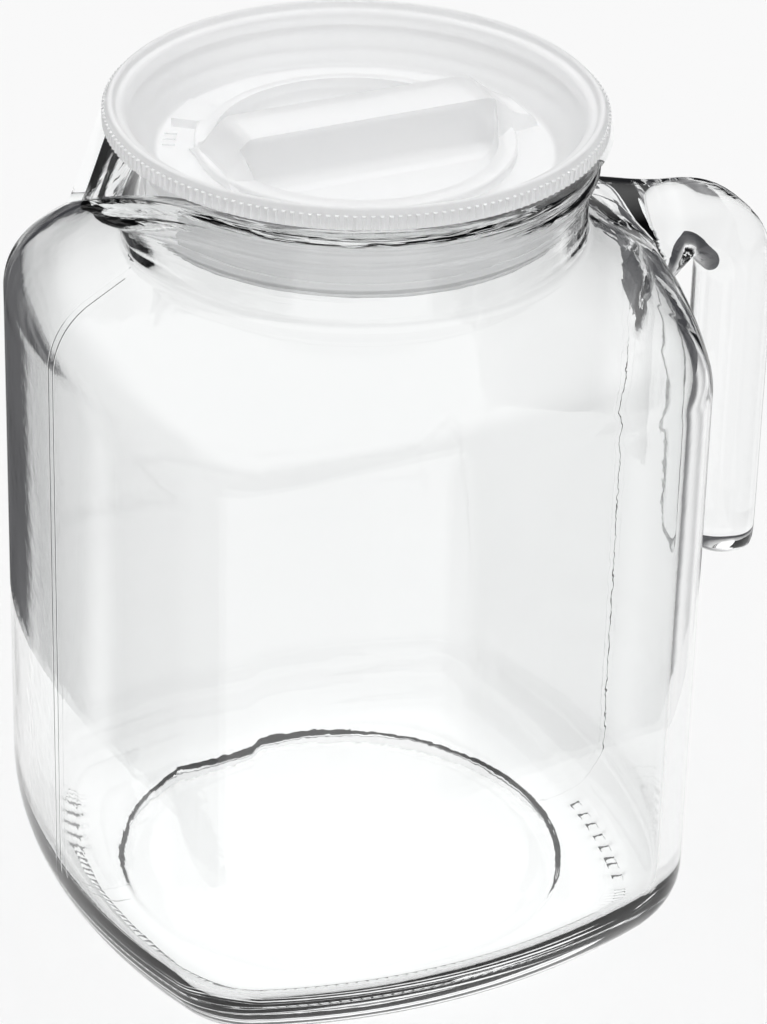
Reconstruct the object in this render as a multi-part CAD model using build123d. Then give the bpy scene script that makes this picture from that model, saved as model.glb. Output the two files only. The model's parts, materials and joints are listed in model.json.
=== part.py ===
from build123d import *
from math import atan2, cos, degrees, radians, sin, sqrt, tan
import os

# Glass water jug with a push-in lid and a turning pour dial, in millimetres.
# Sub-parts are drawn about the jug's own axis, with the spout towards -X, the handle
# towards +X and z = 0 on the table, and are moved together when they are written.

# Glass body
body_half_width = 66.8
side_radius = 141.5                   # the four sides are slightly bowed
corner_radius = 18.6
glass_wall = 3.6
base_thickness = 9.0
heel_radius = 18.0
inner_heel_radius = 13.0
push_up_radius = 48.1                 # shallow hollow under the base
push_up_depth = 1.2

# Shoulder and neck
neck_radius = 47.4
rim_height = 180.8
neck_foot_height = rim_height - 22.5
shoulder_slope = 29.7                 # degrees below level
shoulder_radius = 16.4
bead_radius = neck_radius + 2.2
bead_height = 8.6
rim_bore_radius = neck_radius - 0.25  # the rim opens out into a cone that the lid sits in
seat_height = 6.4

# Spout
spout_reach = neck_radius + 12.5
spout_tip_height = rim_height - 6.6
spout_tip_radius = 5.5
spout_half_angle = 44.0
spout_foot = rim_height - 17.3
spout_narrowing = 0.35                # width of the beak's foot as a share of its top

# Handle, an open hook
handle_reach = body_half_width + 30.6
handle_top = rim_height - 22.8        # where the arm's top would meet the neck
handle_slope = 5.7
handle_width = 18.0
grip_thickness = 15.4
arm_underside = rim_height - 44.8
handle_tip_height = rim_height - 118.3
handle_bend_radius = 20.0
handle_round = 6.2
web_depth = 24.0
web_thickness = 5.2

# Dial
dial_skirt_radius = neck_radius - 17.4
dial_flange_radius = dial_skirt_radius + 2.6
dial_flange_rise = 2.4
dial_float = 0.2
dial_clearance = 0.3
dial_skirt_drop = 20.6
well_radius = dial_skirt_radius - 1.3
well_drop = 13.5
well_round = 4.0
bar_width = 11.8
bar_drop = 1.8
bar_end_round = 2.6
tab_reach = dial_flange_radius + 6.0
tab_width = 8.6
dial_travel = 90.0
stop_play = 0.6                       # degrees left between the block and the notch at each end
lug_count = 3
lug_span = 34.0
lug_height = 1.0
lug_reach = 1.0

# Lid cover
lid_thickness = 1.5
lid_seat_gap = 0.25
flange_radius = neck_radius + 3.6
flange_rise = 4.55
dish_top_radius = neck_radius - 1.0
dish_top_drop = 2.65
dish_floor_radius = neck_radius - 6.5
dish_floor_drop = 10.8
plug_clearance = 1.1                  # plug skirt to the neck's bore
plug_depth = 22.2
stop_start = 127.0                    # degrees, the stop block on the dish floor
stop_end = 142.5
stop_outer_radius = dial_flange_radius + 5.8
stop_rise = 1.9

# Seal ring
seal_height = 2.2
seal_bed = 0.8
seal_above_edge = 0.9
seal_clearance = 0.3

# Pour passage through the lid
window_half_angle = 17.0
window_sill = 3.3                     # above the bottom edge of the plug skirt
window_height = 5.2                   # in the plug skirt
inner_window_height = 3.8             # in the sleeve and the dial, below the finger wells
duct_half_width = 9.5

# Worked out from the sizes above
lid_top = rim_height + lid_seat_gap + flange_rise
dish_floor = lid_top - dish_floor_drop
bore_radius = neck_radius - glass_wall
plug_radius = bore_radius - plug_clearance
plug_foot = lid_top - plug_depth
plug_inner = plug_radius - lid_thickness
sleeve_bore = dial_skirt_radius + dial_clearance
sleeve_radius = sleeve_bore + lid_thickness
sleeve_foot = lid_top - dial_skirt_drop + lug_height + dial_float
flange_foot = dish_floor + dial_float
flange_top = dish_floor + dial_flange_rise
bar_top = lid_top - bar_drop
axis_shift = (body_half_width - handle_reach) / 2    # puts the box's centre on x = 0
slope_drop = tan(radians(shoulder_slope))
high = 2 * lid_top


def bowed_square(half_width, bow_radius, round_radius):
    """Closed square outline with bowed sides and round corners, in the XY plane."""
    k = bow_radius - half_width
    reach = bow_radius - round_radius
    c = (sqrt(2 * reach ** 2 - k ** 2) - k) / 2
    half_turn = atan2(c, c + k)
    edges = []
    for turn in range(4):
        side = CenterArc((-k, 0), bow_radius, degrees(-half_turn), degrees(2 * half_turn))
        corner = CenterArc((c, c), round_radius, degrees(half_turn), 90 - degrees(2 * half_turn))
        edges += [Rot(0, 0, 90 * turn) * side, Rot(0, 0, 90 * turn) * corner]
    return make_face(Wire(edges))


def turned(points):
    """Solid of revolution from (radius, height) points."""
    return revolve(Plane.XZ * make_face(Polyline(*points, close=True)), Axis.Z)


def ring(inner, outer, low, top):
    return turned([(inner, low), (outer, low), (outer, top), (inner, top)])


def drum(radius, low, top):
    return Pos(0, 0, low) * Cylinder(radius, top - low, align=(Align.CENTER, Align.CENTER, Align.MIN))


def block(x0, x1, y0, y1, z0, z1):
    return Pos(x0, y0, z0) * Box(x1 - x0, y1 - y0, z1 - z0, align=(Align.MIN, Align.MIN, Align.MIN))


def sector(radius, start, end, low, top):
    """Wedge of a drum between two angles in degrees."""
    span = radians(end - start)
    reach = radius / cos(span / 4)
    corners = [(0, 0)]
    for step in range(5):
        angle = radians(start) + span * step / 4
        corners.append((reach * cos(angle), reach * sin(angle)))
    face = make_face(Polyline(*corners, close=True))
    return Pos(0, 0, low) * extrude(face, top - low) & drum(radius, low, top)


def side_profile(points, half_width):
    """Prism across the jug from (x, z) points."""
    face = make_face(Polyline(*points, close=True))
    return extrude(Plane.XZ * face, half_width, both=True)


def jug_form(inset):
    """Body, shoulder and neck as one plain solid; inset is zero outside, the wall inside."""
    half_width = body_half_width - inset
    corner = corner_radius - inset
    foot = base_thickness if inset else 0
    prism = Pos(0, 0, foot) * extrude(
        bowed_square(half_width, side_radius - inset, corner), high)
    radius = neck_radius - inset
    level = neck_foot_height - inset * tan(radians(shoulder_slope / 2)) * 2
    wide = 2 * half_width
    crown = turned([(0, -1), (wide, -1), (wide, level - (wide - radius) * slope_drop),
                    (radius, level), (radius, high), (0, high)])
    solid = prism & crown
    round_radius = shoulder_radius - inset
    eaves = [e for e in solid.edges() if abs_radius(e.center()) > half_width - 1
             and foot + 1 < e.center().Z < level and not e.bounding_box().size.Z > level / 2]
    solid = fillet(eaves, round_radius)
    heel = min(inner_heel_radius if inset else heel_radius, corner - 0.4)
    floor_edges = [e for e in solid.edges() if e.bounding_box().max.Z < foot + 0.01]
    return fillet(floor_edges, heel)


def abs_radius(point):
    return sqrt(point.X ** 2 + point.Y ** 2)


def beak_outline(tip, scale, level):
    """Pointed outline with a round tip, tip towards -X, scaled about its tip."""
    nose = spout_tip_radius
    apex = nose / sin(radians(spout_half_angle)) - nose
    run = spout_reach - neck_radius / 2
    half = run * tan(radians(spout_half_angle))
    outline = make_face(Polyline((-apex, 0), (run, -half), (run, half), close=True))
    outline = fillet(outline.vertices().sort_by(Axis.X)[0], nose)
    return Pos(-tip, 0, level) * scale_flat(outline, scale)


def scale_flat(face, factor):
    return scale(face, by=(factor, factor, 1))


def spout_wedge(inset):
    """Beak that widens towards the rim; the pouring channel is the same form inset."""
    foot = spout_foot + inset
    low_tip = neck_radius - glass_wall / 2 - inset
    share = 1 - inset / spout_reach
    return loft([beak_outline(low_tip, spout_narrowing, foot),
                 beak_outline(spout_reach - inset, share, rim_height)])


def handle_hook():
    inner = handle_reach - grip_thickness
    end = handle_top - (handle_reach - neck_radius) * tan(radians(handle_slope))
    points = [(neck_radius - glass_wall, handle_top), (handle_reach, end),
              (handle_reach, handle_tip_height), (inner, handle_tip_height),
              (inner, arm_underside), (body_half_width + web_thickness, arm_underside),
              (body_half_width - glass_wall / 2, arm_underside - web_depth),
              (neck_radius, arm_underside - web_depth)]
    face = make_face(Polyline(*points, close=True))
    corners = face.vertices()
    face = fillet(nearest(corners, handle_reach, end), handle_bend_radius)
    face = fillet(nearest(face.vertices(), handle_reach, handle_tip_height), 4.0)
    face = fillet(nearest(face.vertices(), inner, handle_tip_height), 8.0)
    face = fillet(nearest(face.vertices(), inner, arm_underside), 5.0)
    face = fillet(nearest(face.vertices(), body_half_width + web_thickness, arm_underside), 3.0)
    hook = extrude(Plane.XZ * face, handle_width / 2, both=True)
    outline = [e for e in hook.edges() if abs(abs(e.center().Y) - handle_width / 2) < 0.01
               and e.bounding_box().max.X > body_half_width + 1]
    return fillet(outline, handle_round)


def nearest(vertices, x, y):
    return min(vertices, key=lambda v: (v.X - x) ** 2 + (v.Y - y) ** 2)


def make_jug():
    seat_foot = rim_height - seat_height
    bead_foot = rim_height - bead_height
    bead = turned([(neck_radius - 1, bead_foot - 1.4), (neck_radius, bead_foot - 1.4),
                   (bead_radius, bead_foot + 1), (bead_radius, rim_height - 1.2),
                   (bead_radius - 1.2, rim_height), (neck_radius - 1, rim_height)])
    glass = (jug_form(0) & drum(high, -1, rim_height)) + bead
    dip = side_profile([(-neck_radius, rim_height), (-spout_reach, spout_tip_height),
                        (-high, spout_tip_height), (-high, high), (-neck_radius, high)], high)
    glass += spout_wedge(0) - drum(neck_radius - glass_wall / 2, 0, high)
    glass += handle_hook()
    glass -= jug_form(glass_wall)
    glass -= turned([(0, seat_foot), (bore_radius, seat_foot), (rim_bore_radius, rim_height),
                     (rim_bore_radius, high), (0, high)])
    glass -= spout_wedge(glass_wall)
    glass -= dip
    glass -= drum(push_up_radius, -1, push_up_depth)
    return glass


def window(inner, outer, height):
    """Cutter for the pour window, centred on the spout side."""
    sill = plug_foot + window_sill
    wedge = sector(outer, 180 - window_half_angle, 180 + window_half_angle, sill, sill + height)
    return wedge - drum(inner, sill - 1, sill + height + 1)


def make_cover():
    floor_under = dish_floor - lid_thickness
    flange_under = rim_height + lid_seat_gap
    slope = (dish_top_radius - dish_floor_radius) / (dish_floor_drop - dish_top_drop)
    cone_under = dish_floor_radius + (flange_under - dish_floor) * slope + lid_thickness * 1.2
    cover = turned([
        (sleeve_bore, sleeve_foot), (sleeve_radius, sleeve_foot), (sleeve_radius, floor_under),
        (plug_inner, floor_under), (plug_inner, plug_foot), (plug_radius, plug_foot),
        (plug_radius, dish_floor), (cone_under, flange_under), (flange_radius, flange_under),
        (flange_radius, lid_top - 2.0), (flange_radius - 0.7, lid_top - 0.7),
        (flange_radius - 2.0, lid_top), (dish_top_radius + 1.2, lid_top - 0.6),
        (dish_top_radius, lid_top - dish_top_drop), (dish_floor_radius, dish_floor),
        (sleeve_bore, dish_floor)])
    sill = plug_foot + window_sill
    duct = block(-plug_radius + 0.2, -sleeve_bore - 0.2, -duct_half_width - lid_thickness,
                 duct_half_width + lid_thickness, sill - lid_thickness, dish_floor - 0.2)
    duct &= drum(plug_radius - 0.2, sill - lid_thickness, dish_floor) - drum(sleeve_bore + 0.2, 0, high)
    bore = block(-plug_radius - 1, -sleeve_bore - 0.3, -duct_half_width, duct_half_width,
                 sill, floor_under)
    bore &= drum(plug_inner, sill, floor_under) - drum(sleeve_radius, 0, high)
    cover = cover + duct - bore
    cover -= window(plug_inner - 1, plug_radius + 1, window_height)
    cover -= window(sleeve_bore - 1, sleeve_radius + 1, inner_window_height)
    cover -= ring(sleeve_bore - 1, dial_skirt_radius + lug_reach + dial_clearance, plug_foot, sleeve_foot)
    groove_foot = plug_foot + seal_above_edge
    cover -= ring(plug_radius - seal_bed, plug_radius + 1, groove_foot, groove_foot + seal_height)
    stop = sector(stop_outer_radius, stop_start, stop_end, dish_floor - 0.5, dish_floor + stop_rise)
    stop -= drum(sleeve_bore + 0.7, 0, high)
    return cover + stop


def make_seal():
    foot = plug_foot + seal_above_edge
    lip = bore_radius - seal_clearance
    root = plug_radius - seal_bed
    half = seal_height / 2
    return turned([(root, foot), (plug_radius, foot), (lip, foot + half - 0.4), (lip, foot + half + 0.4),
                   (plug_radius, foot + seal_height), (root, foot + seal_height)])


def make_dial():
    well_floor = lid_top - well_drop
    skirt_foot = lid_top - dial_skirt_drop
    skirt_inner = dial_skirt_radius - lid_thickness
    dial = turned([
        (0, well_floor - lid_thickness), (skirt_inner, well_floor - lid_thickness),
        (skirt_inner, skirt_foot), (dial_skirt_radius, skirt_foot), (dial_skirt_radius, flange_foot),
        (dial_flange_radius, flange_foot), (dial_flange_radius, flange_top - 0.8),
        (dial_flange_radius - 0.8, flange_top), (well_radius, flange_top),
        (well_radius, well_floor + well_round / 2), (well_radius - well_round / 2, well_floor),
        (0, well_floor)])
    notch = sector(high, stop_start - dial_travel - stop_play, stop_end + stop_play, flange_foot - 0.1, high)
    dial -= notch - drum(sleeve_bore + 0.5, 0, high)
    bar = side_profile([(-dial_flange_radius + 1, flange_top - 1), (-well_radius + bar_end_round, bar_top),
                        (well_radius, bar_top), (tab_reach - 1.5, flange_top + 0.6),
                        (tab_reach, flange_top - 0.4), (tab_reach, flange_foot),
                        (well_radius - 2, flange_foot), (well_radius - 2, well_floor - 0.5),
                        (2 - well_radius, well_floor - 0.5), (2 - well_radius, flange_top - 1)],
                       bar_width / 2)
    along = [e for e in bar.edges() if e.center().Z > bar_top - 0.01 and e.bounding_box().size.X > 2]
    bar = fillet(along, 1.4)
    taper = (bar_width - tab_width) / 2
    plan = make_face(Polyline((-high, -bar_width / 2), (well_radius, -bar_width / 2),
                              (tab_reach, taper - bar_width / 2), (tab_reach, bar_width / 2 - taper),
                              (well_radius, bar_width / 2), (-high, bar_width / 2), close=True))
    bar &= extrude(plan, high)
    hollow = block(4 - well_radius, well_radius - 4, lid_thickness - bar_width / 2,
                   bar_width / 2 - lid_thickness, 0, bar_top - lid_thickness)
    dial = dial + bar - hollow
    turn_to_window = Rot(0, 0, -dial_travel)
    dial -= turn_to_window * window(skirt_inner - 1, dial_skirt_radius + 1, inner_window_height)
    for lug in range(lug_count):
        start = 90 + dial_travel / 2 + 360 / lug_count * lug - lug_span / 2
        lug_top = skirt_foot + lug_height
        hook = sector(dial_skirt_radius + lug_reach, start, start + lug_span, skirt_foot, lug_top)
        dial += hook - drum(skirt_inner + 0.2, 0, high)
    return dial


def write(node, solid):
    export_step(Pos(axis_shift, 0, 0) * solid, "parts/" + node + ".step")


os.makedirs("parts", exist_ok=True)
write("glass_jug", make_jug())
write("lid_cover", make_cover())
write("seal_ring", make_seal())
write("pour_dial", make_dial())
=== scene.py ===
import json
import math
import bpy
import bmesh
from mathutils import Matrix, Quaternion, Vector


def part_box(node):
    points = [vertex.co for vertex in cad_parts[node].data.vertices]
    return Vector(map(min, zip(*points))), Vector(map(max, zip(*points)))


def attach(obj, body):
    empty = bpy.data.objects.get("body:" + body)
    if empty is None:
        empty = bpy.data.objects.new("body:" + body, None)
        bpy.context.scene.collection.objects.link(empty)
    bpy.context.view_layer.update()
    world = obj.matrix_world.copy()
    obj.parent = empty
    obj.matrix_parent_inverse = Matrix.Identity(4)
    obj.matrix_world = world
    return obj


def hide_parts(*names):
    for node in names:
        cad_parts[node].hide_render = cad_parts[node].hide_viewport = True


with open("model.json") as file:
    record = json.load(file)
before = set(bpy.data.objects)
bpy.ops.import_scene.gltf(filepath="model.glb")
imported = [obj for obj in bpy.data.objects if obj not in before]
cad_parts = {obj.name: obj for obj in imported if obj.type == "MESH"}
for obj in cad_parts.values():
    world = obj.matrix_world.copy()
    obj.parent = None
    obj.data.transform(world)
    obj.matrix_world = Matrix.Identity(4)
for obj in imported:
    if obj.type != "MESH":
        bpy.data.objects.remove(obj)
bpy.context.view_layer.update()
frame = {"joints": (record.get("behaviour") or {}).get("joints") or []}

mm = 0.001
axisX = next(j for j in frame["joints"] if j["name"] == "dial_turn")["pos_m"][0]
jugLow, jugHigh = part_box("glass_jug")
coverLow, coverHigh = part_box("lid_cover")
rimZ = jugHigh.z
lidTop = coverHigh.z


# hand tools

def startPiece(name):
    # names the primitive that was just added and opens it for editing
    piece = bpy.context.object
    piece.name = name
    piece.data.name = name
    bpy.ops.object.mode_set(mode="EDIT")
    bpy.ops.mesh.select_mode(type="VERT")
    bpy.ops.mesh.select_all(action="SELECT")
    return piece


def nothingSelected():
    if bpy.context.object and bpy.context.object.mode != "OBJECT":
        bpy.ops.object.mode_set(mode="OBJECT")
    bpy.ops.object.select_all(action="DESELECT")


def only(piece):
    nothingSelected()
    piece.select_set(True)
    bpy.context.view_layer.objects.active = piece


def pick(piece, test, mode="VERT"):
    # selects what passes the test, in edit mode; faces and edges are tested at their centres
    only(piece)
    bpy.ops.object.mode_set(mode="EDIT")
    bpy.ops.mesh.select_mode(type=mode)
    bpy.ops.mesh.select_all(action="DESELECT")
    net = bmesh.from_edit_mesh(piece.data)
    found = 0
    for item in {"VERT": net.verts, "EDGE": net.edges, "FACE": net.faces}[mode]:
        if test(item):
            item.select_set(True)
            found += 1
    net.select_flush_mode()
    bmesh.update_edit_mesh(piece.data)
    return found


def centreOf(edge):
    return (edge.verts[0].co + edge.verts[1].co) / 2


def ringReach(piece):
    # radius of the selected ring where it crosses the X axis side, and at 45 degrees
    net = bmesh.from_edit_mesh(piece.data)
    reach = [v.co.xy.length for v in net.verts if v.select]
    return min(reach), max(reach), sum(reach) / len(reach)


def nextRing(piece, level, face, corner=None):
    # extrudes the selected ring to a level, rounds it and sizes it
    net = bmesh.from_edit_mesh(piece.data)
    now = next(v.co.z for v in net.verts if v.select)
    bpy.ops.mesh.extrude_region_move(TRANSFORM_OT_translate={"value": (0, 0, level - now)})
    corner = face if corner is None else corner
    low, high, mean = ringReach(piece)
    if high - low > 1e-6:
        ratio = corner / face
        blend = (high - low * ratio) / ((high - mean) - ratio * (low - mean))
        bpy.ops.transform.tosphere(value=min(1, max(0, blend)))
        low = ringReach(piece)[0]
    size = face / low
    bpy.ops.transform.resize(value=(size, size, 1), center_override=(0, 0, level))


def finishPiece(piece, angle=40):
    only(piece)
    bpy.ops.object.transform_apply(location=True, rotation=True, scale=True)
    bpy.ops.object.shade_smooth_by_angle(angle=math.radians(angle))


def facesOut(piece):
    only(piece)
    bpy.ops.object.mode_set(mode="EDIT")
    bpy.ops.mesh.select_all(action="SELECT")
    bpy.ops.mesh.remove_doubles(threshold=1e-6)
    bpy.ops.mesh.normals_make_consistent(inside=False)
    bpy.ops.object.mode_set(mode="OBJECT")


def join(first, *others):
    nothingSelected()
    for other in others:
        other.select_set(True)
    first.select_set(True)
    bpy.context.view_layer.objects.active = first
    bpy.ops.object.join()
    return first


def combine(piece, other, operation):
    only(piece)
    cut = piece.modifiers.new(operation.lower(), "BOOLEAN")
    cut.operation = operation
    cut.solver = "EXACT"
    cut.object = other
    bpy.ops.object.modifier_apply(modifier=cut.name)
    bpy.data.objects.remove(other)
    return piece


# glass jug, one piece of pressed glass

glass = {
    "halfWidth": 66.8, "bow": 141.5, "corner": 18.6, "innerCorner": 18.6, "wall": 3.6,
    "heel": 18.0, "innerHeel": 10.5, "base": 9.0,
    "neck": 47.4, "neckFoot": 158.3, "slope": 29.7, "shoulder": 16.4,
    "sideSteps": 36, "cornerSteps": 20,
    "bead": 49.5, "rimBore": 47.15, "seat": 6.4,
    "hollow": 48.1, "hollowDepth": 1.2,
}


def bowedOutline(name, inset, level):
    # one side arc and one corner arc at a time, spun from a single vertex
    half, bow = glass["halfWidth"] - inset, glass["bow"] - inset
    corner = glass["innerCorner"] if inset else glass["corner"]
    k, reach = bow - half, bow - corner
    c = (math.sqrt(2 * reach ** 2 - k ** 2) - k) / 2
    turn = math.atan2(c, c + k)
    nothingSelected()
    bpy.ops.mesh.primitive_plane_add(size=0.01)
    outline = startPiece(name)
    bpy.ops.mesh.merge(type="CENTER")
    start = (-k + bow * math.cos(turn), -bow * math.sin(turn))
    bpy.ops.transform.translate(value=(start[0] * mm, start[1] * mm, level * mm))
    for quarter in range(4):
        a = math.pi / 2 * quarter
        sideCentre = (-k * math.cos(a) * mm, -k * math.sin(a) * mm, 0)
        cornerCentre = (c * (math.cos(a) - math.sin(a)) * mm, c * (math.sin(a) + math.cos(a)) * mm, 0)
        bpy.ops.mesh.spin(steps=glass["sideSteps"], angle=-2 * turn, center=sideCentre, axis=(0, 0, 1))
        bpy.ops.mesh.spin(steps=glass["cornerSteps"], angle=-(math.pi / 2 - 2 * turn),
                          center=cornerCentre, axis=(0, 0, 1))
    bpy.ops.mesh.select_all(action="SELECT")
    bpy.ops.mesh.remove_doubles(threshold=1e-5)
    bpy.ops.mesh.select_all(action="SELECT")
    return outline


def wallAt(level, wall, inset):
    # radius of the shoulder above a wall at this reach, for a level in millimetres
    slope = math.tan(math.radians(glass["slope"]))
    neck, turnR = glass["neck"] - inset, glass["shoulder"] - inset
    foot = glass["neckFoot"] - inset * math.tan(math.radians(glass["slope"] / 2)) * 2
    eave = foot - (wall - neck) * slope
    start = eave - turnR * math.tan(math.radians((90 - glass["slope"]) / 2))
    if level <= start:
        return wall
    top = start + turnR * math.cos(math.radians(glass["slope"]))
    if level < top:
        return wall - turnR + math.sqrt(turnR ** 2 - (level - start) ** 2)
    return neck + (foot - level) / slope


def makeShell(name, inset, floor, heel, neckRings):
    # the outline is raised to the neck, then the heel and floor are drawn in below it
    face = glass["halfWidth"] - inset
    outline = bowedOutline(name, inset, floor + heel)
    low, corner, mean = ringReach(outline)
    corner = corner / mm
    foot = glass["neckFoot"] - inset * math.tan(math.radians(glass["slope"] / 2)) * 2
    levels = [floor + heel + step for step in range(4, int(122 - floor - heel), 4)]
    levels += [124 + 1.3 * step for step in range(int((foot - 3 - 124) / 1.3))]
    for level in levels:
        nextRing(outline, level * mm, wallAt(level, face, inset) * mm, wallAt(level, corner, inset) * mm)
    for radius, level in neckRings:
        nextRing(outline, level * mm, radius * mm)
    pick(outline, lambda v: abs(v.co.z / mm - floor - heel) < 0.01)
    for step in range(1, 11):
        a = math.radians(9 * step)
        drawn = heel * (1 - math.cos(a))
        nextRing(outline, (floor + heel - heel * math.sin(a)) * mm, (face - drawn) * mm, (corner - drawn) * mm)
    return outline


def neckFillet(inset):
    # small concave sweep from the shoulder into the neck
    foot = glass["neckFoot"] - inset * math.tan(math.radians(glass["slope"] / 2)) * 2
    neck, sweep = glass["neck"] - inset, 3.0 + inset / 2
    turn = math.radians(90 - glass["slope"])
    reach = sweep * math.tan(turn / 2)
    points = []
    for step in range(5):
        a = turn * step / 4
        points.append((neck + sweep - sweep * math.cos(turn - a), foot + reach - sweep * math.sin(turn - a)))
    return points


def makeGlassOutside():
    neck, bead = glass["neck"], glass["bead"]
    rings = neckFillet(0) + [(neck, 163.2), (neck, 166.5), (neck, 169.5), (neck + 0.1, 170.6), (neck + 0.7, 171.4),
                             (neck + 1.4, 171.9), (bead - 0.2, 172.6), (bead, 173.3), (bead - 0.1, 174.1),
                             (bead - 0.5, 174.8), (bead - 0.7, 175.4), (bead - 0.6, 176.0), (bead - 0.2, 176.7),
                             (bead, 177.4), (bead - 0.05, 178.1), (bead - 0.35, 178.8), (bead - 0.45, 179.3),
                             (bead - 0.5, 179.8), (bead - 0.9, 180.4)]
    outside = makeShell("glassJug", 0, 0, glass["heel"], rings)
    # foot: flat bearing band, edge of the shallow hollow, then the hollow's floor
    hollow, depth = glass["hollow"], glass["hollowDepth"]
    for radius, level in ((hollow + 0.3, 0), (hollow, 0.05), (hollow - 0.5, 0.6), (hollow - 1.6, depth),
                          (40.0, depth + 0.25), (30.0, depth + 0.5), (20.0, depth + 0.7), (10.0, depth + 0.85),
                          (4.0, depth + 0.9)):
        nextRing(outside, level * mm, radius * mm)
    bpy.ops.mesh.edge_face_add()
    # grip ticks pressed into the heel, on every other face of one strip
    pick(outside, lambda f: 0.9 * mm < f.calc_center_median().z < 1.95 * mm and len(f.verts) == 4
         and f.calc_center_median().xy.length > (hollow + 4) * mm and f.index % 2 == 0, "FACE")
    bpy.ops.mesh.inset(thickness=0.35 * mm, depth=-0.35 * mm, use_individual=True)
    pick(outside, lambda e: e.is_boundary and centreOf(e).z > 100 * mm, "EDGE")
    return outside


def makeGlassInside():
    bore, rimBore = glass["neck"] - glass["wall"], glass["rimBore"]
    seatFoot = rimZ / mm - glass["seat"]
    rings = neckFillet(glass["wall"]) + [(bore, 161.5), (bore, 165), (bore, 169), (bore, 172), (bore, seatFoot - 0.4),
                                         (bore + 0.4, seatFoot + 0.6)]
    rings += [(bore + 0.4 + (rimBore - bore - 0.9) * s / 6, seatFoot + 0.6 + (glass["seat"] - 1.4) * s / 6)
              for s in range(1, 7)]
    rings += [(rimBore + 0.1, rimZ / mm - 0.3)]
    inside = makeShell("glassInside", glass["wall"], glass["base"], glass["innerHeel"], rings)
    for radius in (46.0, 40.0, 32.0, 24.0, 16.0, 9.0, 4.0):
        nextRing(inside, (glass["base"] - 0.9 * (1 - radius / 50)) * mm, radius * mm)
    bpy.ops.mesh.edge_face_add()
    return inside


hook = {
    "reach": 97.4, "thick": 15.4, "wide": 18.0, "round": 7.0, "tip": 62.5,
    "bendX": 75.2, "bendZ": 130.6, "lean": 5.7,
    "arm": ((71.5, 18.0, 16.2, 145.0), (68.6, 18.6, 17.4, 145.1), (65.5, 19.4, 19.2, 145.3), (62.0, 21.6, 21.0, 145.2),
            (58.5, 24.8, 23.0, 144.9), (55.0, 28.4, 25.0, 144.6), (51.0, 31.6, 26.4, 144.4), (46.4, 33.2, 26.8, 144.4)),
}


def makeHook():
    # the grip's section goes down to the tip and up round the bend, then along the arm to its flared root
    middle = hook["reach"] - hook["thick"] / 2
    nothingSelected()
    bpy.ops.mesh.primitive_plane_add(size=1)
    grip = startPiece("handleHook")
    bpy.ops.transform.resize(value=(hook["thick"] * mm, hook["wide"] * mm, 1))
    bpy.ops.mesh.bevel(offset=hook["round"] * mm, segments=8, affect="VERTICES")
    bpy.ops.transform.translate(value=(middle * mm, 0, 76 * mm))
    pick(grip, lambda e: e.calc_length() > 1.38 * mm, "EDGE")
    bpy.ops.mesh.subdivide(number_cuts=1)
    bpy.ops.mesh.select_all(action="SELECT")
    bpy.ops.mesh.delete(type="ONLY_FACE")
    bpy.ops.mesh.select_all(action="SELECT")
    bpy.ops.mesh.select_mode(type="VERT")

    def step(x, z, sizes, shift):
        bpy.ops.mesh.extrude_region_move(TRANSFORM_OT_translate={"value": shift})
        bpy.ops.transform.resize(value=sizes, center_override=(x, 0, z))

    level, centre = 76.0, middle
    for drop, side, share in ((4, 0.03, 0.995), (4, 0.13, 0.98), (2.4, 0.34, 0.95), (1.5, 0.5, 0.9), (0.9, 0.5, 0.84),
                              (0.45, 0.3, 0.78), (0.25, 0.2, 0.7)):
        level -= drop
        centre += side
        step(centre * mm, level * mm, (share, share, 1), (side * mm, 0, -drop * mm))
    bpy.ops.mesh.edge_face_add()
    pick(grip, lambda v: abs(v.co.z - 76 * mm) < 1e-5)
    rise = (hook["bendZ"] - 76) / 14
    for number in range(14):
        step(middle * mm, 0, (1, 1, 1), (0, 0, rise * mm))
    bpy.ops.mesh.spin(steps=14, angle=math.radians(90 - hook["lean"]), center=(hook["bendX"] * mm, 0, hook["bendZ"] * mm),
                      axis=(0, 1, 0))
    for x, wide, tall, middleZ in hook["arm"]:
        net = bmesh.from_edit_mesh(grip.data)
        ring = [v.co for v in net.verts if v.select]
        nowX, nowZ = sum(c.x for c in ring) / len(ring), sum(c.z for c in ring) / len(ring)
        nowTall = max(c.z for c in ring) - min(c.z for c in ring)
        nowWide = 2 * max(c.y for c in ring)
        step(x * mm, middleZ * mm, (0.6, wide * mm / nowWide, tall * mm / nowTall),
             (x * mm - nowX, 0, middleZ * mm - nowZ))
    bpy.ops.mesh.edge_face_add()
    facesOut(grip)
    # web under the root, drawn down the body's side
    pick(grip, lambda v: 63 * mm < v.co.x < 68 * mm and v.co.z < 138 * mm and abs(v.co.y) < 5 * mm)
    bpy.ops.transform.translate(value=(-1.5 * mm, 0, -15 * mm), use_proportional_edit=True,
                                proportional_edit_falloff="SMOOTH", proportional_size=11 * mm)
    bpy.ops.object.mode_set(mode="OBJECT")
    return grip


spout = {"out": 10.3, "down": 6.4, "spread": 27.0}


def pullSpout(jug):
    # the hot rim is drawn out and down into a pouring lip
    edge = -46 * mm
    pick(jug, lambda v: v.co.x < edge and v.co.z > rimZ - 2.6 * mm and abs(v.co.y) < 1.2 * mm)
    bpy.ops.transform.translate(value=(-spout["out"] * mm, 0, -spout["down"] * mm), use_proportional_edit=True,
                                proportional_edit_falloff="SHARP", proportional_size=spout["spread"] * mm)
    bpy.ops.object.mode_set(mode="OBJECT")


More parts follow.
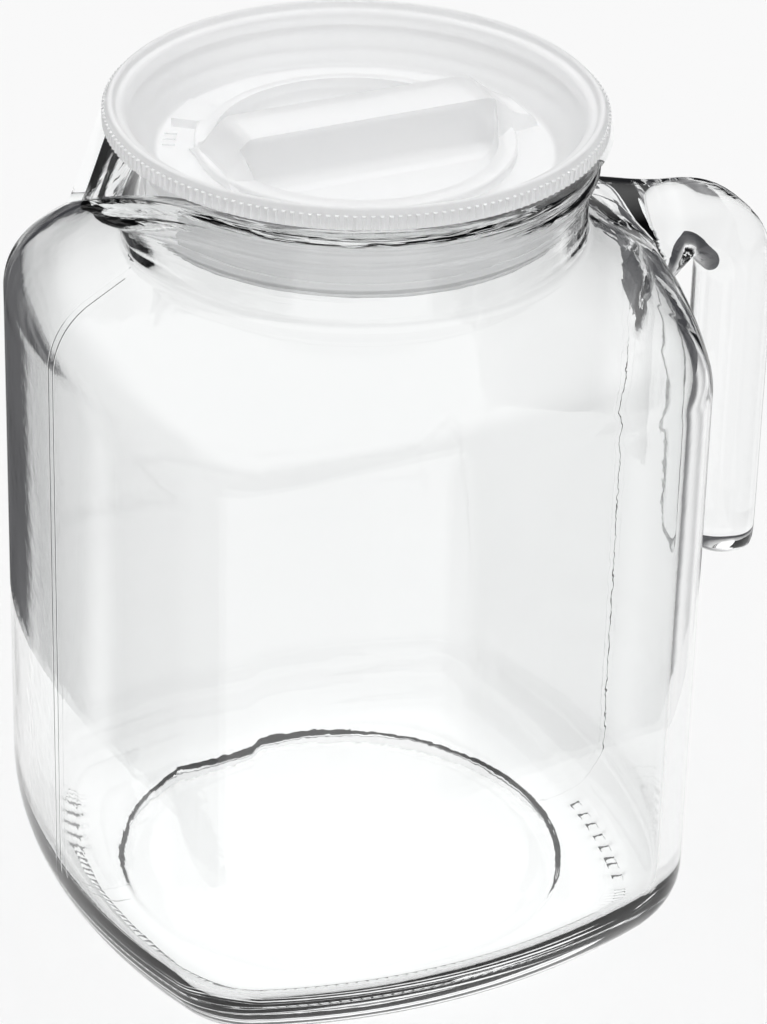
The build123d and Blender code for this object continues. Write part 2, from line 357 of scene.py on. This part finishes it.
def makeJug():
    outside = makeGlassOutside()
    pick(outside, lambda e: e.is_boundary, "EDGE")
    bpy.ops.mesh.edge_face_add()
    facesOut(outside)
    combine(outside, makeHook(), "UNION")
    print("glass outside and handle", len(outside.data.vertices))
    pick(outside, lambda f: len(f.verts) > 100 and f.calc_center_median().z > 100 * mm, "FACE")
    bpy.ops.mesh.delete(type="FACE")
    inside = makeGlassInside()
    only(inside)
    jug = join(outside, inside)
    pick(jug, lambda e: e.is_boundary, "EDGE")
    bpy.ops.mesh.bridge_edge_loops(number_cuts=2, smoothness=1.2, profile_shape_factor=0.1)
    facesOut(jug)
    pick(jug, lambda v: v.co.x > 44.5 * mm and 104 * mm < v.co.z < 164 * mm and abs(v.co.y) < 21 * mm
         and (v.co.x < 73 * mm) and v.co.xy.length > 44.5 * mm and not nearInside(v.co))
    bpy.ops.mesh.vertices_smooth(factor=0.5, repeat=8)
    pullSpout(jug)
    print("glass jug closed", len(jug.data.vertices))
    return jug


def nearInside(point):
    # true on the inner wall, which the handle's smoothing leaves alone
    level = point.z / mm
    wall = glass["halfWidth"] - glass["wall"]
    limit = wallAt(level, wall, glass["wall"]) if level < glass["neckFoot"] - 5 else glass["neck"] - glass["wall"]
    return point.x < (limit + glass["wall"] * 0.45) * mm


# lid cover, a frosted moulding pushed into the neck

cover = {
    "ribs": 184, "ribDepth": 0.5, "ribDraft": 0.16, "flange": 51.0, "under": 181.05,
    "dishTop": 46.2, "dishFloor": 40.9, "floor": 174.8, "plug": 42.7, "plugFoot": 163.4, "skin": 1.5,
    "sleeveBore": 30.3, "sleeveFoot": 166.2,
    "sill": 166.7, "windowTop": 171.9, "windowAngle": 17.0, "ductHalf": 9.5,
    "stopFrom": 127.0, "stopTo": 142.5, "stopReach": 38.4, "stopTop": 176.7,
}


def lathe(name, segments, profile):
    # rings raised one after another from (radius, height) in millimetres, left open for the caller to close
    radius, level = profile[0]
    nothingSelected()
    bpy.ops.mesh.primitive_circle_add(vertices=segments, radius=radius * mm, location=(0, 0, level * mm))
    piece = startPiece(name)
    only(piece)
    bpy.ops.object.transform_apply(location=True)
    bpy.ops.object.mode_set(mode="EDIT")
    bpy.ops.mesh.select_all(action="SELECT")
    for nextRadius, nextLevel in profile[1:]:
        bpy.ops.mesh.extrude_region_move(TRANSFORM_OT_translate={"value": (0, 0, (nextLevel - level) * mm)})
        bpy.ops.transform.resize(value=(nextRadius / radius, nextRadius / radius, 1), center_override=(0, 0, 0))
        radius, level = nextRadius, nextLevel
    return piece


def closeRing(piece):
    bpy.ops.object.mode_set(mode="OBJECT")
    pick(piece, lambda e: e.is_boundary, "EDGE")
    bpy.ops.mesh.bridge_edge_loops()
    facesOut(piece)
    return piece


def arcPoints(centre, radius, start, end, steps):
    # points of a round edge in the profile, angles in degrees
    turns = [math.radians(start + (end - start) * s / steps) for s in range(steps + 1)]
    return [(centre[0] + radius * math.cos(a), centre[1] + radius * math.sin(a)) for a in turns]


def sectorBlock(name, inner, outer, start, end, low, top, steps=8):
    # a curved block: a section spun round the axis
    nothingSelected()
    bpy.ops.mesh.primitive_plane_add(size=1, rotation=(math.radians(90), 0, 0))
    block = startPiece(name)
    only(block)
    bpy.ops.object.transform_apply(rotation=True)
    bpy.ops.object.mode_set(mode="EDIT")
    bpy.ops.mesh.select_all(action="SELECT")
    bpy.ops.transform.resize(value=((outer - inner) * mm, 1, (top - low) * mm))
    bpy.ops.transform.translate(value=((inner + outer) / 2 * mm, 0, (low + top) / 2 * mm))
    bpy.ops.transform.rotate(value=-math.radians(start), orient_axis="Z", center_override=(0, 0, 0))
    bpy.ops.mesh.spin(steps=steps, angle=-math.radians(end - start), center=(0, 0, 0), axis=(0, 0, 1))
    facesOut(block)
    return block


def boxBlock(name, low, high):
    nothingSelected()
    bpy.ops.mesh.primitive_cube_add(size=1)
    block = startPiece(name)
    bpy.ops.transform.resize(value=[(high[i] - low[i]) * mm for i in range(3)])
    bpy.ops.transform.translate(value=[(high[i] + low[i]) / 2 * mm for i in range(3)])
    bpy.ops.object.mode_set(mode="OBJECT")
    return block


def makeCover():
    c = cover
    under, top, floor = c["under"], lidTop / mm, c["floor"]
    flange = c["flange"] - c["ribDepth"]
    profile = [(c["sleeveBore"], c["sleeveFoot"]), (c["sleeveBore"], 170.0), (c["sleeveBore"], floor - 0.4),
               (c["sleeveBore"] + 0.12, floor - 0.1), (c["sleeveBore"] + 0.4, floor), (34.0, floor), (37.5, floor)]
    profile += arcPoints((39.6, floor + 1.6), 1.6, -90, -34, 5)
    profile += [(42.4, 177.2), (43.9, 179.5), (45.3, 181.7)]
    profile += [(46.0, 182.8), (46.35, 183.6), (46.8, 184.1), (47.5, 184.3), (48.0, 184.35), (48.3, 184.6)]
    profile += arcPoints((49.3, top - 0.85), 0.85, 150, 15, 7)
    profile += [(flange - 0.1, top - 0.95), (flange, top - 1.15)]
    profile += [(flange, under + 0.3), (flange - 0.25, under + 0.08), (flange - 0.7, under), (48.5, under)]
    profile += [(46.95, under), (46.5, 180.6), (44.9, 178.2), (43.3, 175.8), (c["plug"], 174.6)]
    profile += [(c["plug"], 171.0), (c["plug"], 167.2), (c["plug"] - 0.1, 166.75), (c["plug"] - 0.8, 166.6),
                (c["plug"] - 0.8, 164.25), (c["plug"] - 0.1, 164.15), (c["plug"], 163.9), (c["plug"] - 0.15, 163.5),
                (c["plug"] - 0.4, c["plugFoot"]), (c["plug"] - 1.3, c["plugFoot"]), (c["plug"] - 1.55, 163.7)]
    inner = c["plug"] - c["skin"] - 0.1
    profile += [(inner, 167.0), (inner, 172.6), (inner - 0.7, floor - c["skin"]), (36.0, floor - c["skin"])]
    sleeve = c["sleeveBore"] + c["skin"]
    profile += [(sleeve + 0.7, floor - c["skin"]), (sleeve, 172.6), (sleeve, 169.0), (sleeve, c["sleeveFoot"] + 0.3),
                (sleeve - 0.3, c["sleeveFoot"])]
    lid = closeRing(lathe("lidCover", 2 * c["ribs"], profile))
    pick(lid, lambda f: f.normal.z ** 2 < 0.02 and f.calc_center_median().xy.length > (flange - 0.1) * mm
         and under + 0.5 < f.calc_center_median().z / mm < top - 1.3
         and int(math.atan2(f.calc_center_median().y, f.calc_center_median().x) / math.pi * c["ribs"] + 1000) % 2 == 0, "FACE")
    bpy.ops.mesh.inset(thickness=c["ribDraft"] * mm, depth=c["ribDepth"] * mm, use_individual=True)
    bpy.ops.object.mode_set(mode="OBJECT")
    print("lid ribs", len(lid.data.vertices))
    half = c["ductHalf"] + c["skin"]
    duct = sectorBlock("duct", sleeve - 0.4, inner + 0.5, 180 - 15, 180 + 15, c["sill"] - c["skin"], floor - 0.6)
    combine(lid, duct, "UNION")
    bore = boxBlock("bore", (-inner - 0.3, -c["ductHalf"], c["sill"]), (-sleeve + 0.4, c["ductHalf"], floor - c["skin"]))
    combine(lid, bore, "DIFFERENCE")
    angle = c["windowAngle"]
    outer = sectorBlock("outerWindow", inner - 1, c["plug"] + 1, 180 - angle + 4, 180 + angle - 4, c["sill"], c["windowTop"])
    combine(lid, outer, "DIFFERENCE")
    near = sectorBlock("innerWindow", c["sleeveBore"] - 1, sleeve + 1, 180 - angle, 180 + angle, c["sill"], c["sill"] + 3.8)
    combine(lid, near, "DIFFERENCE")
    stop = sectorBlock("stopBlock", c["sleeveBore"] + 0.8, c["stopReach"], c["stopFrom"], c["stopTo"], floor - 0.6,
                       c["stopTop"], 4)
    combine(lid, stop, "UNION")
    for number in range(3):
        bar = sectorBlock("mark", 36.4, 39.0, 146.5 + 4 * number, 148.3 + 4 * number, floor - 0.6, floor + 0.35, 2)
        combine(lid, bar, "UNION")
    print("lid cover", len(lid.data.vertices))
    return lid


# seal ring in its groove at the foot of the plug

def makeSeal():
    root, foot, lip = 41.95, 164.3, 43.5
    middle = foot + 1.1
    profile = [(root, foot), (root, middle), (root, foot + 2.2), (root + 0.8, foot + 2.2), (42.95, foot + 1.95),
               (43.2, foot + 1.65)]
    profile += arcPoints((lip - 0.35, middle), 0.35, 70, -70, 6)
    profile += [(43.2, foot + 0.55), (42.95, foot + 0.25), (root + 0.8, foot)]
    return closeRing(lathe("sealRing", 160, profile))


# turning dial with its grip bar

dial = {
    "flange": 32.6, "flangeTop": 177.2, "flangeFoot": 175.0, "skirt": 30.0, "skirtFoot": 165.0, "skin": 1.5,
    "well": 28.7, "wellFloor": 172.1, "cornerRound": 5.0, "bowl": 3.2,
    "bar": 11.8, "barTop": 183.8, "barSpread": 24.0, "tabReach": 38.6, "tabWide": 9.4,
    "travel": 90.0, "play": 0.6, "lugs": 3, "lugSpan": 34.0,
}


def makePuck():
    d = dial
    inner = d["skirt"] - d["skin"]
    roof = d["wellFloor"] - d["skin"]
    profile = [(1.0, roof), (10, roof), (20, roof), (inner - 0.8, roof), (inner, roof - 0.8), (inner, 167.5),
               (inner, d["skirtFoot"]), (d["skirt"] - 0.2, d["skirtFoot"]), (d["skirt"], d["skirtFoot"] + 0.3),
               (d["skirt"], 169), (d["skirt"], 174.7), (d["skirt"] + 0.3, d["flangeFoot"]), (31.5, d["flangeFoot"])]
    profile += [(d["flange"] - 0.15, d["flangeFoot"]), (d["flange"], d["flangeFoot"] + 0.2)]
    profile += arcPoints((d["flange"] - 0.7, d["flangeTop"] - 0.7), 0.7, 0, 90, 4)
    profile += [(30.0, d["flangeTop"]), (20, d["flangeTop"]), (10, d["flangeTop"]), (1.0, d["flangeTop"])]
    puck = lathe("pourDial", 144, profile)
    bpy.ops.object.mode_set(mode="OBJECT")
    for level in (roof, d["flangeTop"]):
        pick(puck, lambda e: e.is_boundary and abs(centreOf(e).z - level * mm) < 1e-5, "EDGE")
        bpy.ops.mesh.edge_face_add()
    facesOut(puck)
    return puck


def makeBar():
    # a wide block whose ends slope down to the flange; the pockets carve its flanks
    d = dial
    nothingSelected()
    bpy.ops.mesh.primitive_cube_add(size=1)
    bar = startPiece("gripBar")
    left, right = -31.6, d["tabReach"]
    low, top = d["flangeFoot"], d["barTop"]
    bpy.ops.transform.resize(value=((right - left) * mm, d["barSpread"] * mm, (top - low) * mm))
    bpy.ops.transform.translate(value=((left + right) / 2 * mm, 0, (low + top) / 2 * mm))
    for place in (-26.4, 27.4, 33.0):
        bpy.ops.mesh.select_all(action="SELECT")
        bpy.ops.mesh.bisect(plane_co=(place * mm, 0, 0), plane_no=(1, 0, 0))
    bpy.ops.object.mode_set(mode="OBJECT")
    moves = ((lambda v: v.co.x < -30 * mm and v.co.z > 180 * mm, (0, 0, -(top - d["flangeTop"] - 0.1) * mm)),
             (lambda v: abs(v.co.x - 33 * mm) < mm and v.co.z > 180 * mm, (0, 0, -4.6 * mm)),
             (lambda v: v.co.x > 37 * mm and v.co.z > 180 * mm, (-0.8 * mm, 0, -(top - d["flangeTop"] - 0.2) * mm)))
    pick(bar, lambda v: v.co.z > 180 * mm and v.co.x < 30 * mm)
    bpy.ops.transform.resize(value=(1, (d["bar"] + 0.6) / d["barSpread"], 1), center_override=(0, 0, 0))
    for test, shift in moves:
        pick(bar, test)
        bpy.ops.transform.translate(value=shift)
    pick(bar, lambda v: v.co.x > 37 * mm)
    bpy.ops.transform.resize(value=(1, d["tabWide"] / d["barSpread"], 1), center_override=(0, 0, 0))
    pick(bar, lambda v: abs(v.co.x - 33 * mm) < mm)
    bpy.ops.transform.resize(value=(1, 11.4 / d["barSpread"], 1), center_override=(0, 0, 0))
    pick(bar, lambda e: abs(e.verts[0].co.x - e.verts[1].co.x) < 1e-5 and centreOf(e).z > 176.5 * mm
         and abs(centreOf(e).y) < 0.1 * mm, "EDGE")
    bpy.ops.mesh.bevel(offset=1.6 * mm, segments=4, affect="EDGES")
    bpy.ops.object.mode_set(mode="OBJECT")
    return bar


def makePocket(side):
    # half-moon well with round corners and a bowl-like floor
    d = dial
    nothingSelected()
    bpy.ops.mesh.primitive_circle_add(vertices=120, radius=d["well"] * mm, fill_type="NGON")
    pocket = startPiece("pocket")
    bpy.ops.mesh.bisect(plane_co=(0, side * d["bar"] / 2 * mm, 0), plane_no=(0, side, 0), use_fill=False, clear_inner=True)
    pick(pocket, lambda v: abs(v.co.y - side * d["bar"] / 2 * mm) < 1e-6)
    bpy.ops.mesh.bevel(offset=d["cornerRound"] * mm, segments=7, affect="VERTICES")
    bpy.ops.mesh.select_all(action="SELECT")
    bpy.ops.transform.translate(value=(0, 0, d["wellFloor"] * mm))
    bpy.ops.mesh.extrude_region_move(TRANSFORM_OT_translate={"value": (0, 0, 18 * mm)})
    facesOut(pocket)
    pick(pocket, lambda e: centreOf(e).z < (d["wellFloor"] + 0.1) * mm, "EDGE")
    bpy.ops.mesh.bevel(offset=d["bowl"] * mm, segments=7, affect="EDGES")
    bpy.ops.object.mode_set(mode="OBJECT")
    return pocket


def makeDial():
    d = dial
    puck = makePuck()
    notch = sectorBlock("notch", d["skirt"] + 0.8, d["flange"] + 2, cover["stopFrom"] - d["travel"] - d["play"],
                        cover["stopTo"] + d["play"], d["flangeFoot"] - 0.5, d["flangeTop"] + 1, 24)
    combine(puck, notch, "DIFFERENCE")
    combine(puck, makeBar(), "UNION")
    for side in (-1, 1):
        combine(puck, makePocket(side), "DIFFERENCE")
    hollow = boxBlock("hollow", (-24.5, -4.4, 160), (24.5, 4.4, d["barTop"] - 1.6))
    combine(puck, hollow, "DIFFERENCE")
    opening = sectorBlock("dialWindow", d["skirt"] - d["skin"] - 1, d["skirt"] + 1, 180 - d["travel"] - 17,
                          180 - d["travel"] + 17, cover["sill"], cover["sill"] + 3.8)
    combine(puck, opening, "DIFFERENCE")
    for number in range(d["lugs"]):
        start = 90 + d["travel"] / 2 + 360 / d["lugs"] * number - d["lugSpan"] / 2
        lug = sectorBlock("lug", d["skirt"] - 1.2, d["skirt"] + 1.0, start, start + d["lugSpan"], 165.05, 166.0)
        combine(puck, lug, "UNION")
    # slivers that the cuts left are merged first, or they would hold the bevel to nothing
    pick(puck, lambda v: True)
    bpy.ops.mesh.remove_doubles(threshold=0.15 * mm)
    bpy.ops.mesh.dissolve_degenerate(threshold=0.15 * mm)
    bpy.ops.mesh.dissolve_limited(angle_limit=math.radians(0.5))
    bpy.ops.object.mode_set(mode="OBJECT")
    soften = puck.modifiers.new("soften", "BEVEL")
    soften.width = 0.7 * mm
    soften.segments = 3
    soften.limit_method = "ANGLE"
    soften.angle_limit = math.radians(38)
    soften.harden_normals = False
    bpy.ops.object.modifier_apply(modifier=soften.name)
    print("pour dial", len(puck.data.vertices))
    return puck


# materials

class Wire:
    # a socket that does arithmetic
    def __init__(self, board, socket):
        self.board, self.socket = board, socket

    def math(self, operation, first, second=0.0):
        return self.board.add("ShaderNodeMath", {"operation": operation}, {0: first, 1: second})

    def __add__(self, other):
        return self.math("ADD", self, other)

    def __radd__(self, other):
        return self.math("ADD", other, self)

    def __sub__(self, other):
        return self.math("SUBTRACT", self, other)

    def __rsub__(self, other):
        return self.math("SUBTRACT", other, self)

    def __mul__(self, other):
        return self.math("MULTIPLY", self, other)

    def __rmul__(self, other):
        return self.math("MULTIPLY", other, self)


class Finish:
    # one material's node board
    def __init__(self, name):
        self.material = bpy.data.materials.new(name)
        self.material.use_nodes = True
        self.tree = self.material.node_tree
        self.tree.nodes.clear()
        self.output = self.tree.nodes.new("ShaderNodeOutputMaterial")

    def add(self, kind, settings=None, sockets=None, result=0):
        node = self.tree.nodes.new(kind)
        for key, value in (settings or {}).items():
            if key == "stops":
                while len(node.color_ramp.elements) < len(value):
                    node.color_ramp.elements.new(0.5)
                for stop, (place, colour) in zip(node.color_ramp.elements, value):
                    stop.position, stop.color = place, colour
            else:
                setattr(node, key, value)
        for key, value in (sockets or {}).items():
            if isinstance(value, Wire):
                self.tree.links.new(value.socket, node.inputs[key])
            else:
                node.inputs[key].default_value = value
        return Wire(self, node.outputs[result])

    def surface(self, wire):
        self.tree.links.new(wire.socket, self.output.inputs["Surface"])
        return self.material

    def place(self):
        return self.add("ShaderNodeTexCoord", result="Object")

    def noise(self, scale, detail=3.0, rough=0.5, vector=None):
        return self.add("ShaderNodeTexNoise", None, {"Vector": vector or self.place(), "Scale": scale,
                                                      "Detail": detail, "Roughness": rough})


def letLight(board, shader, share):
    # lamps shine through the thin walls, so that the inside isn't left dark
    through = board.add("ShaderNodeBsdfTransparent", None, {"Color": (share, share, share, 1)})
    lamp = board.add("ShaderNodeLightPath", result="Is Shadow Ray")
    return board.surface(board.add("ShaderNodeMixShader", None, {0: lamp, 1: shader, 2: through}))


def clearGlass():
    board = Finish("clearGlass")
    place = board.place()
    wave = board.noise(22, 2.0)
    ripple = board.noise(260, 2.0)
    # mould join, a fine line in the plane of the handle and spout
    across = board.add("ShaderNodeSeparateXYZ", None, {0: place}, "Y").math("ABSOLUTE", board.add(
        "ShaderNodeSeparateXYZ", None, {0: place}, "Y"))
    out = board.add("ShaderNodeSeparateXYZ", None, {0: place}, "X") - axisX
    seam = (1 - across * 3500).math("MAXIMUM", 1 - across * 3500, 0) * out.math("GREATER_THAN", out.math("ABSOLUTE", out), 0.049)
    # streaks that the turning mould leaves round the neck
    drawn = board.add("ShaderNodeMapping", None, {"Vector": place, "Scale": (26, 26, 520)})
    height = board.add("ShaderNodeSeparateXYZ", None, {0: place}, "Z")
    neckOnly = board.add("ShaderNodeMapRange", {"interpolation_type": "SMOOTHSTEP"},
                         {"Value": height, "From Min": 0.160, "From Max": 0.173, "To Min": 0, "To Max": 1})
    streak = board.noise(1.0, 3.0, 0.6, drawn) * neckOnly
    bump = board.add("ShaderNodeBump", None, {
        "Height": wave * 0.9 + ripple * 0.08 + seam * 0.5 + streak * 1.4, "Strength": 0.14, "Distance": 0.001})
    tint = board.add("ShaderNodeMix", {"data_type": "RGBA"},
                     {0: wave, 6: (0.98, 0.988, 0.986, 1), 7: (0.992, 0.996, 0.995, 1)}, 2)
    return letLight(board, board.add("ShaderNodeBsdfPrincipled", None, {
        "Base Color": tint, "Roughness": ripple * 0.01, "IOR": 1.5, "Transmission Weight": 1.0, "Normal": bump}), 0.97)


def frosted(name, white, clear, share):
    board = Finish(name)
    mottle = board.noise(90, 4.0)
    grain = board.noise(1400, 2.0)
    bump = board.add("ShaderNodeBump", None, {"Height": mottle * 0.3 + grain * 0.7, "Strength": 0.25, "Distance": 0.0001})
    tint = board.add("ShaderNodeMix", {"data_type": "RGBA"},
                     {0: mottle, 6: (white - 0.02, white - 0.015, white - 0.01, 1), 7: (white, white, white, 1)}, 2)
    return letLight(board, board.add("ShaderNodeBsdfPrincipled", None, {
        "Base Color": tint, "Roughness": 0.32 + mottle * 0.12, "IOR": 1.49, "Transmission Weight": clear,
        "Normal": bump}), share)


def dress(piece, material):
    piece.data.materials.clear()
    piece.data.materials.append(material)


glassFinish = clearGlass()
jugPiece = makeJug()
jugPiece.location.x = axisX
finishPiece(jugPiece, 50)
dress(jugPiece, glassFinish)
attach(jugPiece, "jug")
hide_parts("glass_jug")


def settle(piece, angle, material, body, node):
    piece.location.x = axisX
    finishPiece(piece, angle)
    dress(piece, material)
    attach(piece, body)
    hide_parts(node)


settle(makeCover(), 35, frosted("frostedCover", 0.94, 0.42, 0.8), "cover", "lid_cover")
settle(makeSeal(), 50, frosted("sealRubber", 0.86, 0.3, 0.7), "cover", "seal_ring")
settle(makeDial(), 35, frosted("frostedDial", 0.94, 0.38, 0.8), "dial", "pour_dial")


# studio

def makeStudio():
    nothingSelected()
    bpy.ops.mesh.primitive_circle_add(vertices=96, radius=0.75, fill_type="NGON", location=(0, 0, 0))
    floor = bpy.context.object
    floor.location.z = -0.0004
    bpy.ops.object.transform_apply(location=True)
    floor.name = "floor"
    board = Finish("paleFloor")
    dress(floor, board.surface(board.add("ShaderNodeBsdfPrincipled", None, {
        "Base Color": (0.93, 0.93, 0.93, 1), "Roughness": 0.8, "Specular IOR Level": 0.1})))
    world = bpy.data.worlds.new("studio")
    bpy.context.scene.world = world
    world.use_nodes = True
    tree = world.node_tree
    tree.nodes.clear()
    out = tree.nodes.new("ShaderNodeOutputWorld")
    glow = tree.nodes.new("ShaderNodeBackground")
    glow.inputs["Strength"].default_value = 1.2
    place = tree.nodes.new("ShaderNodeTexCoord")
    split = tree.nodes.new("ShaderNodeSeparateXYZ")
    ramp = tree.nodes.new("ShaderNodeValToRGB")
    ramp.color_ramp.elements[0].position = 0.02
    ramp.color_ramp.elements[0].color = (0.045, 0.045, 0.05, 1)
    ramp.color_ramp.elements[1].position = 0.45
    ramp.color_ramp.elements[1].color = (1.0, 1.0, 1.0, 1)
    tree.links.new(place.outputs["Generated"], split.inputs[0])
    # both sides stay dark higher up, which draws the edges of the glass
    square = tree.nodes.new("ShaderNodeMath")
    square.operation = "MULTIPLY"
    lower = tree.nodes.new("ShaderNodeMath")
    lower.operation = "MULTIPLY_ADD"
    lower.inputs[1].default_value = -0.34
    tree.links.new(split.outputs["X"], square.inputs[0])
    tree.links.new(split.outputs["X"], square.inputs[1])
    tree.links.new(square.outputs[0], lower.inputs[0])
    tree.links.new(split.outputs["Z"], lower.inputs[2])
    tree.links.new(lower.outputs[0], ramp.inputs[0])
    tree.links.new(ramp.outputs[0], glow.inputs["Color"])
    # beyond the floor's edge the backdrop is as pale as the floor
    backdrop = tree.nodes.new("ShaderNodeBackground")
    backdrop.inputs["Color"].default_value = (0.98, 0.98, 0.98, 1)
    seen = tree.nodes.new("ShaderNodeLightPath")
    choose = tree.nodes.new("ShaderNodeMixShader")
    tree.links.new(seen.outputs["Is Camera Ray"], choose.inputs[0])
    tree.links.new(glow.outputs[0], choose.inputs[1])
    tree.links.new(backdrop.outputs[0], choose.inputs[2])
    tree.links.new(choose.outputs[0], out.inputs["Surface"])


def makeFlags():
    # dark cloth standing round the set, met only by light that a surface has turned back
    nothingSelected()
    bpy.ops.mesh.primitive_cylinder_add(vertices=96, radius=0.15, depth=0.13, end_fill_type="NOTHING",
                                        location=(0, 0, 0.065))
    flags = bpy.context.object
    flags.name = "darkFlags"
    bpy.ops.object.transform_apply(location=True)
    board = Finish("darkCloth")
    turned = board.add("ShaderNodeLightPath", result="Glossy Depth")
    strips = board.noise(16.0, 1.0, 0.5, board.add("ShaderNodeMapping", None, {
        "Vector": board.place(), "Scale": (1, 1, 0.1)}))
    sides = board.add("ShaderNodeVectorMath", {"operation": "DOT_PRODUCT"},
                      {0: board.place(), 1: (0.9, -0.434, 0)}, "Value")
    sides = sides.math("GREATER_THAN", sides.math("ABSOLUTE", sides), 0.07)
    cloth = board.add("ShaderNodeEmission", None, {"Color": (0.13, 0.13, 0.135, 1), "Strength": 1.0})
    clear = board.add("ShaderNodeBsdfTransparent")
    folds = board.add("ShaderNodeMapRange", {"interpolation_type": "SMOOTHSTEP"},
                      {"Value": strips, "From Min": 0.36, "From Max": 0.52})
    share = turned.math("GREATER_THAN", turned, 0.5) * folds * sides
    dress(flags, board.surface(board.add("ShaderNodeMixShader", None, {0: share, 1: clear, 2: cloth})))
    flags.visible_camera = False
    flags.visible_diffuse = False
    flags.visible_shadow = False


def makeCamera():
    data = bpy.data.cameras.new("camera")
    camera = bpy.data.objects.new("camera", data)
    bpy.context.scene.collection.objects.link(camera)
    bpy.context.scene.camera = camera
    lidRadius = 51.0 * mm
    place = Vector((-6.641, -14.143, 10.820)) * lidRadius + Vector((axisX, 0, 0))
    look = Vector((0.3752, 0.7798, -0.5012))
    camera.location = place
    turn = look.to_track_quat("-Z", "Y")
    camera.rotation_mode = "QUATERNION"
    camera.rotation_quaternion = turn
    camera.rotation_quaternion = camera.rotation_quaternion @ Quaternion((0, 0, 1), math.radians(1.52))
    data.sensor_width = 36
    data.lens = 153.5
    data.clip_start = 0.05
    data.clip_end = 20


makeStudio()
makeFlags()
makeCamera()
bpy.context.scene.view_settings.view_transform = "Standard"
